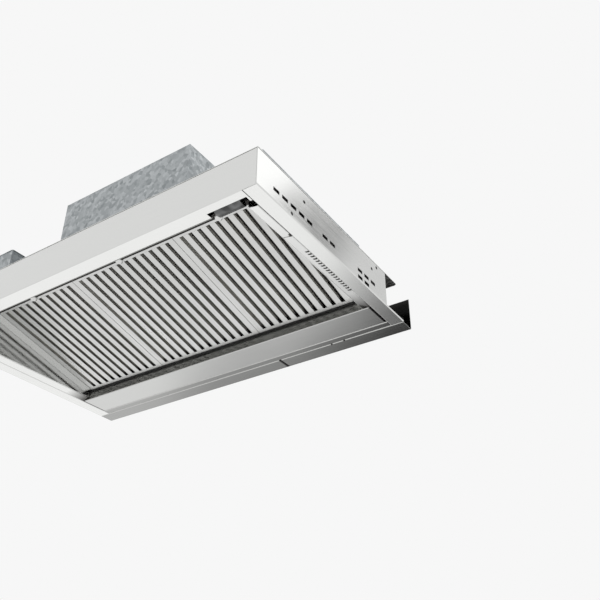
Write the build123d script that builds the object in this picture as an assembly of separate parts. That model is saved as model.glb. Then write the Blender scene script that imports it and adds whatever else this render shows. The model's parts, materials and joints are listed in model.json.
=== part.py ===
from build123d import *
import os
from math import cos, hypot, radians, sin

# Range hood insert: a folded stainless liner with three baffle filters, a plenum, a blower
# chamber with a double-inlet wheel, a duct collar with two damper flaps, two lamps and a
# rocking control paddle.  Millimetres.  X runs across the hood, Y towards the wall, Z up.
# The origin is the middle of the wall face's lower edge, in the plane of the bottom rails.

# ---- the liner ----------------------------------------------------------------
WIDTH = 919.0                # over the two side panels
DEPTH = 581.0                # front wall to wall face
SKIRT_H = 84.0               # bottom rails to the top of the roof plate
SHEET = 1.2                  # stainless sheet
BEND_R = 1.6                 # bend radius on the sheet's middle line
GAP = 0.3                    # between neighbouring sheets
HEM = 9.0                    # turned-up edge of a rail
TOP_FLANGE = 14.0            # flange under the roof plate
SIDE_RAIL = 31.6             # width of the side rails
FRONT_RAIL = 33.6            # width of the front rail
REAR_FLANGE = 40.0           # bottom flange along the wall
REAR_STRIP = 19.0            # narrow strip ahead of it
FILLER_DEPTH = 75.0          # inset panel ahead of the strip
FILLER_END_GAP = 2.5         # inset panel to the side rail
FILLER_HEM = 12.0            # turned-up edges of the strip and the inset panel
UPSTAND_H = 78.0             # rear flange's wall face
UPSTAND_INSET = 2.0          # its ends, in from the side panels' outer faces
SIDE_WALL_STOP = 117.5       # side panel walls end this far ahead of the wall face
ROOF_STOP = 62.0             # and the roof plate ends this far ahead of it
ROOF_CORNER_R = 6.0
SEAM_X = 133.5               # slit in the rear flange
SEAM_W = 2.2

# ---- slots for the cabinet screws, in the side panels -------------------------------------
SLOT_LEN = 16.5
SLOT_W = 6.2
SLOT_Z = 24.0                # height of the main row
SLOT_PITCH = 26.7
FRONT_ROW_IN = 57.3          # first slot's centre, from the front wall
FRONT_ROW_COUNT = 5
MIDDLE_ROW_IN = 218.0
MIDDLE_ROW_COUNT = 2
REAR_ROW_Y = -230.0          # first slot's centre, from the wall face
REAR_ROW_COUNT = 3
LOW_ROW_Z = 7.5              # second row at the rear
LOW_ROW_COUNT = 2
PILOT_R = 2.2                # small round holes above the slots
FRONT_PILOT_IN = 146.0       # from the front wall
FRONT_PILOT_Z = 60.0
REAR_PILOTS = ((-178.0, 59.0), (-156.0, 74.0))

# ---- filters ----------------------------------------------------------------
FILTER_TILT = 13.66          # degrees, front end high
FILTER_T = 12.0
FILTER_SHEET = 0.8
FILTER_REAR_GAP = 5.0        # rear lower edge to the recess's rear wall
FILTER_REAR_Z = 21.4
FILTER_SIDE_GAP = 1.0        # between neighbouring filters
SLAT_PITCH = 23.0
SLAT_SLOT = 9.6              # open width between two lower slats
EDGE_BORDER = 14.6           # plain face beside the first and last slot
REAR_BORDER = 9.5
FRONT_BORDER = 15.6
TOP_LIP = 7.0                # frame's lip over the upper slats' ends
SLAT_FLANGE = 5.4            # height of the lower slats' edges
SLAT_REST = 6.0              # how far those edges lie over the frame's face
UPPER_WEB_W = 17.6           # upper slats
UPPER_DROP = 6.6             # their edges hang this far
UPPER_CREASE = 1.1           # depth of the crease along their middle
SLAT_GAP = 0.2
PIVOT_IN = 3.5               # tilt line, in from the rear lower edge
LIP_FRONT = 2.0              # rear rail's lip ends this far behind the tilt line

# ---- filter latches ----------------------------------------------------------------
LATCH_R = 8.0                # finger knob
LATCH_H = 5.0
LATCH_EDGE = 1.5             # bevel round the knob and over the bar's nose
LATCH_NECK_R = 2.6
LATCH_BAR_W = 9.0
LATCH_BAR_T = 3.0
LATCH_TRAVEL = 4.0
LATCH_NOSE = 4.0             # past the front edge of the filter
LATCH_IN = 8.2               # knob's centre, in from the front edge
LATCH_BAR_LEN = 13.5
CATCH_GAP = 0.4

# ---- recess sides and front ----------------------------------------------------------------
LEDGE_W = 19.6               # side ledge, from the side rail inwards
LEDGE_RISE = 4.8             # its inner edge stands this much higher
LEDGE_HEM = 14.0
LEDGE_IN = 155.0             # front wall to the ledge's front end, where the corner cover ends
COVER_RISE = 3.4
COVER_GAP = 1.2              # corner cover to the side rail
RECESS_IN = 15.4             # front rail to the corner covers and side webs, clear of the paddle
CLOSER_GAP = 1.0             # side closer strip to the filter
CLOSER_LEAST = 9.0           # least width of that strip
LAMP_RUN = 87.7              # front rail to the filters, under the sloped lamp plate
LAMP_PLATE_FLANGE = 8.0
LAMP_PLATE_TOP = 14.0        # height of its catch flange, along the filter's thickness

# ---- plenum, blower chamber and duct ----------------------------------------------------------------
BOX_SHEET = 1.0
BOX_FLANGE = 10.0
PLENUM_SIDE_GAP = 1.9        # side webs to the plenum's walls
PLENUM_REAR_GAP = 0.6        # recess's rear wall to the plenum's rear wall
PLENUM_LEAD = 40.7           # plenum's front, ahead of the filters
PLENUM_H = 82.0
CHAMBER_W = 380.0
CHAMBER_BACK = 16.0          # its rear wall, ahead of the recess's rear wall
CHAMBER_FRONT_GAP = 17.5     # its front wall, ahead of the scroll
CHAMBER_H = 154.0
DUCT_R = 75.0
DUCT_H = 48.0
DUCT_FLANGE = 13.0
COLLAR_BEND = 2.0            # cone between the collar's foot flange and its wall
DUCT_BACK = 150.0            # its centre, ahead of the chamber's rear wall
DAMPER_Z = 20.0              # rod's height in the collar
DAMPER_ROD_R = 2.5
DAMPER_SLEEVE_R = 3.9
DAMPER_SLEEVE_SHORT = 12.0   # sleeves end this far inside the flaps' rim
DAMPER_T = 0.8
DAMPER_CLEAR = 0.9           # flap's rim to the collar
DAMPER_SEAT = 3.5
DAMPER_TAB = 2.0             # flap's tab, past its sleeve

# ---- blower ----------------------------------------------------------------
SHAFT_R = 4.0
SHAFT_FIT = 0.05
WHEEL_W = 84.0
WHEEL_SIDE_CLEAR = 6.0       # wheel to the scroll's cheeks
WHEEL_CLEAR = 10.0           # wheel's rim to the scroll, at the tongue
SCROLL_R = 82.0              # volute's first quarter; each next one is larger by the step
SCROLL_STEP = 12.0
SCROLL_SHIFT_Y = 6.0         # the first quarter's centre, off the shaft
SCROLL_SHIFT_Z = 2.0
SCROLL_NECK = 7.8            # first quarter to the scroll's mouth
TONGUE_IN = 17.0
OUTLET_PLATE_LAP = 8.0       # outlet plate, past the duct's radius
CHEEK_T = 1.0
CHEEK_LAP = 2.0              # cheeks stand out round the scroll
INLET_LAP = 5.0              # inlet's radius, inside the blades
INLET_BELL = 6.0
BLADES = 30
BLADE_DEPTH = 11.0
BLADE_T = 1.0
BLADE_LEAN = 6.0             # outer edge leads the inner one by this much
WHEEL_RING = 2.0
WHEEL_RING_LAP = 0.6         # end rings stand out past the blades
HUB_R = 11.0
HUB_LEN = 26.0
HUB_PLATE_T = 1.6
MOTOR_R = 36.0
MOTOR_LEN = 58.0
MOTOR_END = 6.0              # depth of its stepped ends
MOTOR_STEP = 4.0             # their radius is smaller by this much
MOTOR_BOSS = 5.0             # length of the boss round the shaft
MOTOR_STANDOFF = 22.0        # motor's face from the cheek
ARM_IN = 8.0                 # bracket's ring, in from the motor's face
ARM_W = 12.0
ARM_T = 2.5
ARM_ANGLES = (30, 150, 270)

# ---- lamps ----------------------------------------------------------------
LAMP_X = 250.0
LAMP_ALONG = 46.0            # up the sloped plate from its lower bend
LAMP_R = 22.0
LAMP_CAN_DEPTH = 14.0
LAMP_BEZEL_R = 29.0
LAMP_BEZEL_H = 2.4
LAMP_BEZEL_EDGE = 0.6        # height of its outer rim
LAMP_BEZEL_SLOPE = 2.0
LAMP_LENS_T = 2.0
LAMP_LENS_BEVEL = 0.6
LAMP_LENS_FIT = 0.1

# ---- control paddle ----------------------------------------------------------------
NOTCH_END = 4.4              # notch in the front rail: its right end to the side rail
NOTCH_W = 86.0
NOTCH_DEPTH = 14.6
PADDLE_IN = 12.0             # paddle's left end, from the notch's
PADDLE_W = 57.0
PADDLE_PIN_OUT = 1.1         # pin, ahead of the front rail's inner edge
PADDLE_R = 19.6              # outer face, about its pin
PADDLE_T = 1.5
PADDLE_HALF = 34.0           # degrees each side of straight down
PADDLE_PIN_R = 2.0
PADDLE_PIN_END = 1.0         # pin stands out past the ears
PADDLE_BOSS_R = 4.2
EAR_T = 1.5
EAR_HALF = 5.0               # ears' width, each side of the pin
EAR_TOP = 1.5                # above the paddle's boss
EAR_FOOT = 8.0               # height of the ears at the front
BRACKET_IN = 4.0             # front wall to the bracket's base
BRACKET_SETBACK = 1.0        # base to the notch

# ---- switch, junction box and capacitor ----------------------------------------------------------------
SWITCH_INSET = 4.0           # shorter than the paddle at each end
SWITCH_D = 26.0
SWITCH_Z = 32.0
SWITCH_H = 30.0
SWITCH_BEVEL = 2.5
JUNCTION_X = -255.0          # its middle
JUNCTION_W = 110.0
JUNCTION_SETBACK = 5.0       # from the front wall
JUNCTION_D = 64.0
JUNCTION_H = 45.0
COVER_LAP = 1.0              # its cover, past the walls
COVER_CORNER_R = 4.0
BUSHING_R = 11.0
BUSHING_WALL = 3.0
BUSHING_LIP = 2.5            # height and depth of the outer lip
BUSHING_BARB = 1.5           # inner lip, past the hole
BUSHING_LEN = 6.0
BUSHING_FIT = 0.05
CAPACITOR_R = 17.0
CAPACITOR_LEN = 58.0
CAPACITOR_BEVEL = 1.5

# ---- worked out from the above ----------------------------------------------------------------
MID = SHEET / 2
TILT = radians(FILTER_TILT)
X_OUT = WIDTH / 2
X_IN = X_OUT - SIDE_RAIL
X_WEB = X_IN - LEDGE_W - 2 * SHEET - GAP  # inner face of the recess's side webs
Y_FRONT = -DEPTH
Y_FRONT_IN = Y_FRONT + FRONT_RAIL
Y_FLANGE = -REAR_FLANGE
Y_STRIP = Y_FLANGE - REAR_STRIP
Y_WALL = Y_STRIP - FILLER_DEPTH           # front face of the recess's rear wall
LEDGE_FRONT_Y = Y_FRONT + LEDGE_IN
RECESS_FRONT_Y = Y_FRONT_IN + RECESS_IN
ROOF_Z = SKIRT_H - SHEET                  # underside of the roof plate

FILTER_REAR_Y = Y_WALL - FILTER_REAR_GAP
FILTER_FRONT_Y = Y_FRONT_IN + LAMP_RUN
FILTER_LEN = (FILTER_REAR_Y - FILTER_FRONT_Y) / cos(TILT)
FILTER_ENDS = 2 * EDGE_BORDER - (SLAT_PITCH - SLAT_SLOT)    # a filter's width, past its slots' pitches
SLOTS = int((2 * (X_WEB - CLOSER_GAP - CLOSER_LEAST - FILTER_SIDE_GAP) - 3 * FILTER_ENDS) / SLAT_PITCH)
SIDE_SLOTS = SLOTS // 3                   # slots in each outer filter
CENTRE_SLOTS = SLOTS - 2 * SIDE_SLOTS
SIDE_FILTER_W = SIDE_SLOTS * SLAT_PITCH + FILTER_ENDS
CENTRE_FILTER_W = CENTRE_SLOTS * SLAT_PITCH + FILTER_ENDS
SIDE_FILTER_X = CENTRE_FILTER_W / 2 + FILTER_SIDE_GAP + SIDE_FILTER_W / 2
FILTERS_HALF = SIDE_FILTER_X + SIDE_FILTER_W / 2
FILTER_FRAME = Pos(0, FILTER_REAR_Y, FILTER_REAR_Z) * Rot(-FILTER_TILT, 0, 0)

PLENUM_HALF = X_WEB + SHEET + PLENUM_SIDE_GAP + BOX_SHEET
PLENUM_REAR_Y = Y_WALL - PLENUM_REAR_GAP
PLENUM_FRONT_Y = FILTER_FRONT_Y - PLENUM_LEAD
PLENUM_Z = SKIRT_H + PLENUM_H
CHAMBER_REAR_Y = Y_WALL - CHAMBER_BACK
CHAMBER_Z = PLENUM_Z + CHAMBER_H
DUCT_Y = CHAMBER_REAR_Y - DUCT_BACK

SCROLL_W = WHEEL_W + 2 * WHEEL_SIDE_CLEAR
SCROLL_FAR = SCROLL_R + 3 * SCROLL_STEP - SCROLL_SHIFT_Y    # outlet's far wall, from the shaft
SCROLL_TOP = CHAMBER_Z - BOX_SHEET - SHEET                  # the mouth bears on the outlet plate
SHAFT_Y = DUCT_Y - (TONGUE_IN + SCROLL_FAR) / 2             # the mouth is centred under the duct
CHAMBER_FRONT_Y = SHAFT_Y - SCROLL_SHIFT_Y - SCROLL_R - CHAMBER_FRONT_GAP
SHAFT_Z = SCROLL_TOP - SCROLL_NECK - SCROLL_R + SCROLL_SHIFT_Z
WHEEL_R = SCROLL_R - WHEEL_CLEAR
INLET_R = WHEEL_R - BLADE_DEPTH - INLET_LAP
MOTOR_X = SCROLL_W / 2 + CHEEK_T + MOTOR_STANDOFF           # motor's face

NOTCH_X1 = X_IN - NOTCH_END
NOTCH_X0 = NOTCH_X1 - NOTCH_W
PADDLE_X0 = NOTCH_X0 + PADDLE_IN
PADDLE_X1 = PADDLE_X0 + PADDLE_W
PADDLE_Y = Y_FRONT_IN - PADDLE_PIN_OUT
PADDLE_Z = PADDLE_R + GAP
JUNCTION_X0 = JUNCTION_X - JUNCTION_W / 2
JUNCTION_X1 = JUNCTION_X + JUNCTION_W / 2
JUNCTION_Y0 = Y_FRONT + JUNCTION_SETBACK
JUNCTION_Y1 = JUNCTION_Y0 + JUNCTION_D


def filter_point(y, z):
    """Place in the Y-Z plane of a point of the tilted filters' own frame."""
    return (FILTER_REAR_Y + y * cos(TILT) + z * sin(TILT), FILTER_REAR_Z - y * sin(TILT) + z * cos(TILT))


# ---- shapes used by several pieces ----------------------------------------------------------------
def block(x0, x1, y0, y1, z0, z1):
    return Pos((x0 + x1) / 2, (y0 + y1) / 2, (z0 + z1) / 2) * Box(x1 - x0, y1 - y0, z1 - z0)


def folded_x(points, x0, x1, sheet=SHEET, bend=BEND_R):
    """Sheet bent along X: its middle line in the Y-Z plane, run from x0 to x1."""
    line = FilletPolyline(*points, radius=bend)
    section = Plane.YZ * trace(line, line_width=sheet)
    return Pos(x0, 0, 0) * extrude(section, amount=x1 - x0, dir=(1, 0, 0))


def folded_y(points, y0, y1, sheet=SHEET, bend=BEND_R):
    """Sheet bent along Y: its middle line in the X-Z plane, run from y0 to y1."""
    line = FilletPolyline(*points, radius=bend)
    section = Plane.XZ * trace(line, line_width=sheet)
    return Pos(0, y1, 0) * extrude(section, amount=y1 - y0, dir=(0, -1, 0))


def plate_x(points, x0, x1):
    """Flat piece of a Y-Z outline, from x0 to x1."""
    section = Plane.YZ * make_face(Polyline(*points, close=True))
    return Pos(x0, 0, 0) * extrude(section, amount=x1 - x0, dir=(1, 0, 0))


def rod_x(r, x0, x1, y, z):
    return Pos((x0 + x1) / 2, y, z) * Rot(0, 90, 0) * Cylinder(r, x1 - x0)


def rod_z(r, x, y, z0, z1):
    return Pos(x, y, (z0 + z1) / 2) * Cylinder(r, z1 - z0)


def slot_cut(y, z, x):
    """Slot along Y through a wall near x."""
    section = Plane.YZ * SlotOverall(SLOT_LEN, SLOT_W)
    return Pos(x, y, z) * extrude(section, amount=TOP_FLANGE, both=True)


def open_box(x0, x1, y0, y1, z0, z1, sheet):
    """Box folded from sheet, open below, with a flange turned out at its foot."""
    shell = block(x0, x1, y0, y1, z0, z1)
    shell -= block(x0 + sheet, x1 - sheet, y0 + sheet, y1 - sheet, z0 - 1, z1 - sheet)
    foot = block(x0 - BOX_FLANGE, x1 + BOX_FLANGE, y0 - BOX_FLANGE, y1 + BOX_FLANGE, z0, z0 + sheet)
    foot -= block(x0 + sheet, x1 - sheet, y0 + sheet, y1 - sheet, z0 - 1, z0 + 2 * sheet)
    return shell + foot


def save(shape, name):
    export_step(shape, os.path.join("parts", name + ".step"))


# ---- liner ----------------------------------------------------------------
def side_panel(side):
    """Wall, bottom rail with a hem, and a flange under the roof, folded from one sheet."""
    middle = [
        (X_IN + MID, HEM),
        (X_IN + MID, MID),
        (X_OUT - MID, MID),
        (X_OUT - MID, ROOF_Z - MID),
        (X_OUT - TOP_FLANGE, ROOF_Z - MID),
    ]
    panel = folded_y(middle, Y_FRONT, Y_FLANGE - GAP)
    panel -= block(X_IN + 2 * SHEET, X_OUT + 1, -SIDE_WALL_STOP, 1, SHEET + BEND_R, SKIRT_H)
    panel -= block(X_IN - 1, X_OUT - SHEET, Y_FRONT - 1, Y_FRONT + SHEET + GAP, -1, SKIRT_H)
    back = block(X_OUT - TOP_FLANGE, X_OUT - SHEET, -SIDE_WALL_STOP - SHEET, -SIDE_WALL_STOP,
                 SHEET, ROOF_Z - SHEET)
    panel += back
    rows = (
        (Y_FRONT + FRONT_ROW_IN, FRONT_ROW_COUNT, SLOT_Z),
        (Y_FRONT + MIDDLE_ROW_IN, MIDDLE_ROW_COUNT, SLOT_Z),
        (REAR_ROW_Y, REAR_ROW_COUNT, SLOT_Z),
        (REAR_ROW_Y, LOW_ROW_COUNT, LOW_ROW_Z),
    )
    for first, count, height in rows:
        for n in range(count):
            panel -= slot_cut(first + n * SLOT_PITCH, height, X_OUT)
    for y, z in ((Y_FRONT + FRONT_PILOT_IN, FRONT_PILOT_Z), *REAR_PILOTS):
        panel -= rod_x(PILOT_R, X_OUT - 2 * SHEET, X_OUT + 1, y, z)
    if side < 0:
        panel = mirror(panel, about=Plane.YZ)
    return panel


def front_panel():
    """Front wall and rail between the side panels, notched for the control paddle."""
    middle = [
        (Y_FRONT_IN - MID, HEM),
        (Y_FRONT_IN - MID, MID),
        (Y_FRONT + MID, MID),
        (Y_FRONT + MID, ROOF_Z - MID),
        (Y_FRONT + TOP_FLANGE, ROOF_Z - MID),
    ]
    half = X_OUT - SHEET - GAP
    panel = folded_x(middle, -half, half)
    for side in (-1, 1):
        rail_end = sorted((side * (X_IN - GAP), side * (X_OUT + 1)))
        panel -= block(*rail_end, Y_FRONT + SHEET, Y_FRONT_IN + 1, -1, SKIRT_H / 2)
        flange_end = sorted((side * (X_OUT - TOP_FLANGE - GAP), side * (X_OUT + 1)))
        panel -= block(*flange_end, Y_FRONT + SHEET, 0, SKIRT_H / 2, SKIRT_H)
    panel -= block(NOTCH_X0, NOTCH_X1, Y_FRONT_IN - NOTCH_DEPTH, Y_FRONT_IN + 1, -1, HEM + 1)
    return panel


def rear_flange():
    """Bottom flange and upstand that lie against the wall."""
    middle = [
        (Y_FLANGE + MID, FILLER_HEM),
        (Y_FLANGE + MID, MID),
        (-MID, MID),
        (-MID, UPSTAND_H),
    ]
    half = X_OUT - UPSTAND_INSET
    flange = folded_x(middle, -half, half)
    flange -= block(SEAM_X, SEAM_X + SEAM_W, Y_FLANGE - 1, -2 * BEND_R, -1, FILLER_HEM + 1)
    return flange


def rear_strip():
    """Narrow channel between the rear flange and the inset panel."""
    middle = [
        (Y_STRIP + GAP + MID, FILLER_HEM),
        (Y_STRIP + GAP + MID, MID),
        (Y_FLANGE - GAP - MID, MID),
        (Y_FLANGE - GAP - MID, FILLER_HEM),
    ]
    return folded_x(middle, GAP - X_IN, X_IN - GAP)


def rear_filler_panel():
    """Inset pan: its long edges are folded up, and so are its ends."""
    middle = [
        (Y_WALL + SHEET + GAP + MID, FILLER_HEM),
        (Y_WALL + SHEET + GAP + MID, MID),
        (Y_STRIP - MID, MID),
        (Y_STRIP - MID, FILLER_HEM),
    ]
    half = X_IN - FILLER_END_GAP
    panel = folded_x(middle, -half, half)
    relief = SHEET + BEND_R
    for x in (-half, half - SHEET):
        panel += block(x, x + SHEET, Y_WALL + GAP + SHEET + relief, Y_STRIP - relief, 0, FILLER_HEM)
    return panel


def recess_rear_wall():
    """Upright wall behind the filters, with a flange under the roof plate."""
    middle = [
        (Y_WALL + MID, GAP),
        (Y_WALL + MID, ROOF_Z - MID),
        (Y_WALL + SHEET + TOP_FLANGE, ROOF_Z - MID),
    ]
    return folded_x(middle, GAP - X_IN, X_IN - GAP)


def filter_rear_rail():
    """Angle on the rear wall: the filters' rear edges lie on its lip and tilt about it."""
    pivot_y, pivot_z = filter_point(-PIVOT_IN, 0)
    corner_z = FILTER_REAR_Z - GAP
    middle = [
        (Y_WALL - MID, corner_z + FILTER_T),
        (Y_WALL - MID, corner_z - MID),
        (pivot_y + LIP_FRONT, corner_z - MID),
    ]
    return folded_x(middle, SHEET - X_WEB, X_WEB - SHEET, bend=MID + 0.1)


def roof_plate():
    """Flat top with the opening under the plenum."""
    plate = block(-X_OUT, X_OUT, Y_FRONT, -ROOF_STOP, ROOF_Z, SKIRT_H)
    plate = fillet(plate.edges().filter_by(Axis.Z).group_by(Axis.Y)[-1], ROOF_CORNER_R)
    half = PLENUM_HALF - BOX_SHEET
    plate -= block(-half, half, PLENUM_FRONT_Y + BOX_SHEET, PLENUM_REAR_Y - BOX_SHEET, 0, SKIRT_H + 1)
    return plate


def side_web(side):
    """Upright wall of the recess beside the filters, with the strip that closes to them."""
    top_front = filter_point(-FILTER_LEN - CATCH_GAP, FILTER_T)
    knee_y = FILTER_REAR_Y - (ROOF_Z - FILTER_T - FILTER_REAR_Z) * cos(TILT) / sin(TILT)
    outline = [
        (Y_WALL - SHEET - GAP, LEDGE_RISE + SHEET),
        (Y_WALL - SHEET - GAP, ROOF_Z),
        (knee_y, ROOF_Z),
        top_front,
        filter_point(-FILTER_LEN - CATCH_GAP, 0),
        (RECESS_FRONT_Y, 2 * HEM),
        (RECESS_FRONT_Y, LEDGE_RISE + SHEET),
    ]
    web = plate_x(outline, X_WEB, X_WEB + SHEET)
    closer = block(FILTERS_HALF + CLOSER_GAP, X_WEB + SHEET, -FILTER_LEN, -PIVOT_IN, 0, SHEET)
    web += FILTER_FRAME * closer
    if side < 0:
        web = mirror(web, about=Plane.YZ)
    return web


def ledge(side, y0, y1, rise, gap):
    """Shallow channel between the side rail and the side web."""
    inner = X_WEB + SHEET + GAP + MID
    outer = X_IN - gap - MID
    middle = [(outer, HEM), (outer, MID), (inner, MID + rise), (inner, LEDGE_HEM)]
    piece = folded_y(middle, y0, y1)
    if side < 0:
        piece = mirror(piece, about=Plane.YZ)
    return piece


def side_ledge(side):
    return ledge(side, LEDGE_FRONT_Y, Y_WALL - SHEET - GAP, LEDGE_RISE, GAP)


def corner_cover(side):
    return ledge(side, RECESS_FRONT_Y, LEDGE_FRONT_Y - COVER_GAP, COVER_RISE, COVER_GAP)


def lamp_plate_line():
    """Middle line of the sloped plate: foot flange, slope and catch flange."""
    foot_y = Y_FRONT_IN + GAP + MID
    low = filter_point(-FILTER_LEN - LATCH_NOSE - CATCH_GAP - MID, -SHEET)
    top = filter_point(-FILTER_LEN - LATCH_NOSE - CATCH_GAP - MID, LAMP_PLATE_TOP)
    return [(foot_y, SHEET), (foot_y, SHEET + LAMP_PLATE_FLANGE), low, top]


def lamp_frame(x):
    """Frame of one lamp on the sloped plate: Z points down into the recess."""
    _, low, high, _ = lamp_plate_line()
    length = hypot(high[0] - low[0], high[1] - low[1])
    along = ((high[0] - low[0]) / length, (high[1] - low[1]) / length)
    centre = (x, low[0] + along[0] * LAMP_ALONG, low[1] + along[1] * LAMP_ALONG)
    return Location(Plane(origin=centre, x_dir=(1, 0, 0), z_dir=(0, along[1], -along[0])))


def lamp_plate():
    """Sloped front of the recess, ending in the flange that the filter latches bear on."""
    plate = folded_x(lamp_plate_line(), GAP - X_WEB, X_WEB - GAP)
    notch_end = PADDLE_Y + PADDLE_R + 2 * SHEET
    plate -= block(NOTCH_X0, NOTCH_X1, Y_FRONT_IN - 1, notch_end, -1, 2 * PADDLE_R)
    for x in (-LAMP_X, LAMP_X):
        plate -= lamp_frame(x) * Cylinder(LAMP_R + GAP, 8 * SHEET)
    return plate


# ---- filters ----------------------------------------------------------------
def slot_places(count):
    return [(n - (count - 1) / 2) * SLAT_PITCH for n in range(count)]


def filter_frame(width, count):
    """Rim of one filter: a channel round the slats, in the filter's own frame."""
    half = width / 2
    face = slot_places(count)[-1] + SLAT_SLOT / 2
    rim = block(-half, half, -FILTER_LEN, 0, 0, FILTER_T)
    s = FILTER_SHEET
    rim -= block(s - half, half - s, s - FILTER_LEN, -s, s, FILTER_T - s)
    rim -= block(-face, face, FRONT_BORDER - FILTER_LEN, -REAR_BORDER, -1, FILTER_T / 2)
    rim -= block(TOP_LIP - half, half - TOP_LIP, TOP_LIP - FILTER_LEN, -TOP_LIP, FILTER_T / 2, FILTER_T + 1)
    knob_y = LATCH_IN - FILTER_LEN
    rim -= block(-LATCH_NECK_R - GAP, LATCH_NECK_R + GAP, knob_y - LATCH_NECK_R - GAP,
                 knob_y + LATCH_NECK_R + GAP + LATCH_TRAVEL, -1, 2 * s)
    rim -= block(-LATCH_BAR_W / 2 - GAP, LATCH_BAR_W / 2 + GAP, -FILTER_LEN - 1, 2 * s - FILTER_LEN,
                 s + GAP / 2, s + LATCH_BAR_T + 1.5 * GAP)
    return rim


def lower_slats(count):
    """Channels open upwards: their faces lie flush with the rim's face."""
    s = FILTER_SHEET
    width = SLAT_PITCH - SLAT_SLOT
    y0 = FRONT_BORDER - FILTER_LEN + SLAT_GAP
    y1 = -REAR_BORDER - SLAT_GAP
    slats = []
    for left in slot_places(count)[:-1]:
        x = left + SLAT_PITCH / 2
        slat = block(x - width / 2, x + width / 2, y0, y1, 0, s)
        for edge in (x - width / 2, x + width / 2 - s):
            slat += block(edge, edge + s, y0, y1, 0, SLAT_FLANGE)
            slat += block(edge, edge + s, y0 - SLAT_REST, y1 + SLAT_REST, s + GAP / 2, SLAT_FLANGE)
        slats.append(slat)
    return slats


def upper_slats(count):
    """Channels open downwards over the slots, creased along the middle."""
    s = FILTER_SHEET
    top = FILTER_T - s - SLAT_GAP
    half = UPPER_WEB_W / 2
    outline = [
        (-half, top - UPPER_DROP),
        (-half, top),
        (0, top - UPPER_CREASE),
        (half, top),
        (half, top - UPPER_DROP),
        (half - s, top - UPPER_DROP),
        (half - s, top - s - 0.1),
        (0, top - UPPER_CREASE - s),
        (s - half, top - s - 0.1),
        (s - half, top - UPPER_DROP),
    ]
    length = FILTER_LEN - 2 * (s + SLAT_GAP)
    section = Plane.XZ * make_face(Polyline(*outline, close=True))
    slat = Pos(0, -s - SLAT_GAP, 0) * extrude(section, amount=length, dir=(0, -1, 0))
    return [Pos(x, 0, 0) * slat for x in slot_places(count)]


def filter_latch():
    """Finger knob below the rim, its neck, and the bar that reaches the catch flange."""
    s = FILTER_SHEET
    y = LATCH_IN - FILTER_LEN
    knob = Pos(0, y, -LATCH_H / 2 - GAP) * Cylinder(LATCH_R, LATCH_H)
    knob = chamfer(knob.edges().group_by(Axis.Z)[0], LATCH_EDGE)
    bar_z = s + GAP
    neck = rod_z(LATCH_NECK_R, 0, y, -GAP, bar_z)
    bar_y0 = -FILTER_LEN - LATCH_NOSE
    bar = block(-LATCH_BAR_W / 2, LATCH_BAR_W / 2, bar_y0, bar_y0 + LATCH_BAR_LEN, bar_z, bar_z + LATCH_BAR_T)
    bar = chamfer(bar.edges().filter_by(Axis.X).group_by(Axis.Y)[0].group_by(Axis.Z)[-1], LATCH_EDGE)
    return knob + neck + bar


def save_filter(name, x, width, count):
    place = Pos(x, 0, 0) * FILTER_FRAME
    save(place * filter_frame(width, count), name + "_frame")
    save(Compound(children=[place * slat for slat in lower_slats(count)]), name + "_lower_slats")
    save(Compound(children=[place * slat for slat in upper_slats(count)]), name + "_upper_slats")
    save(place * filter_latch(), name + "_latch")


# ---- plenum, chamber and duct ----------------------------------------------------------------
def plenum_box():
    """Shallow box over the filters, open to the blower chamber on top."""
    half = PLENUM_HALF
    box = open_box(-half, half, PLENUM_FRONT_Y, PLENUM_REAR_Y, SKIRT_H, PLENUM_Z, BOX_SHEET)
    inner = CHAMBER_W / 2 - BOX_SHEET
    box -= block(-inner, inner, CHAMBER_FRONT_Y + BOX_SHEET, CHAMBER_REAR_Y - BOX_SHEET,
                 PLENUM_Z - 2 * BOX_SHEET, PLENUM_Z + 1)
    return box


def blower_chamber():
    """Box round the blower, with the duct's hole in its top."""
    half = CHAMBER_W / 2
    box = open_box(-half, half, CHAMBER_FRONT_Y, CHAMBER_REAR_Y, PLENUM_Z, CHAMBER_Z, BOX_SHEET)
    box -= rod_z(DUCT_R - BOX_SHEET, 0, DUCT_Y, CHAMBER_Z - 2 * BOX_SHEET, CHAMBER_Z + 1)
    return box


def duct_collar():
    """Spun collar with a foot flange, a bead, and the seat that the damper flaps close on."""
    s = BOX_SHEET
    seat_z = DAMPER_Z - DAMPER_T / 2 - GAP
    outline = [
        (DUCT_R - s, 0),
        (DUCT_R + DUCT_FLANGE, 0),
        (DUCT_R + DUCT_FLANGE, s),
        (DUCT_R + COLLAR_BEND, s),
        (DUCT_R, s + COLLAR_BEND),
        (DUCT_R, DUCT_H),
        (DUCT_R - s, DUCT_H),
        (DUCT_R - s, seat_z),
        (DUCT_R - s - DAMPER_SEAT, seat_z),
        (DUCT_R - s - DAMPER_SEAT, seat_z - s),
        (DUCT_R - s, seat_z - s),
    ]
    collar = revolve(Plane.XZ * make_face(Polyline(*outline, close=True)), Axis.Z)
    collar = Pos(0, DUCT_Y, CHAMBER_Z) * collar
    reach = DUCT_R + 2
    collar -= rod_x(DAMPER_ROD_R + SHAFT_FIT, -reach, reach, DUCT_Y, CHAMBER_Z + DAMPER_Z)
    half = DAMPER_SLEEVE_R + GAP
    low = CHAMBER_Z + DAMPER_Z - half
    inner = DUCT_R - s
    collar -= block(-inner + 0.2, inner - 0.2, DUCT_Y - half, DUCT_Y + half, low, CHAMBER_Z + DAMPER_Z)
    return collar


def damper_rod():
    """Its ends lie within the collar's wall, so that the duct slides over them."""
    reach = DUCT_R - BOX_SHEET / 2
    return rod_x(DAMPER_ROD_R, -reach, reach, DUCT_Y, CHAMBER_Z + DAMPER_Z)


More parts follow.
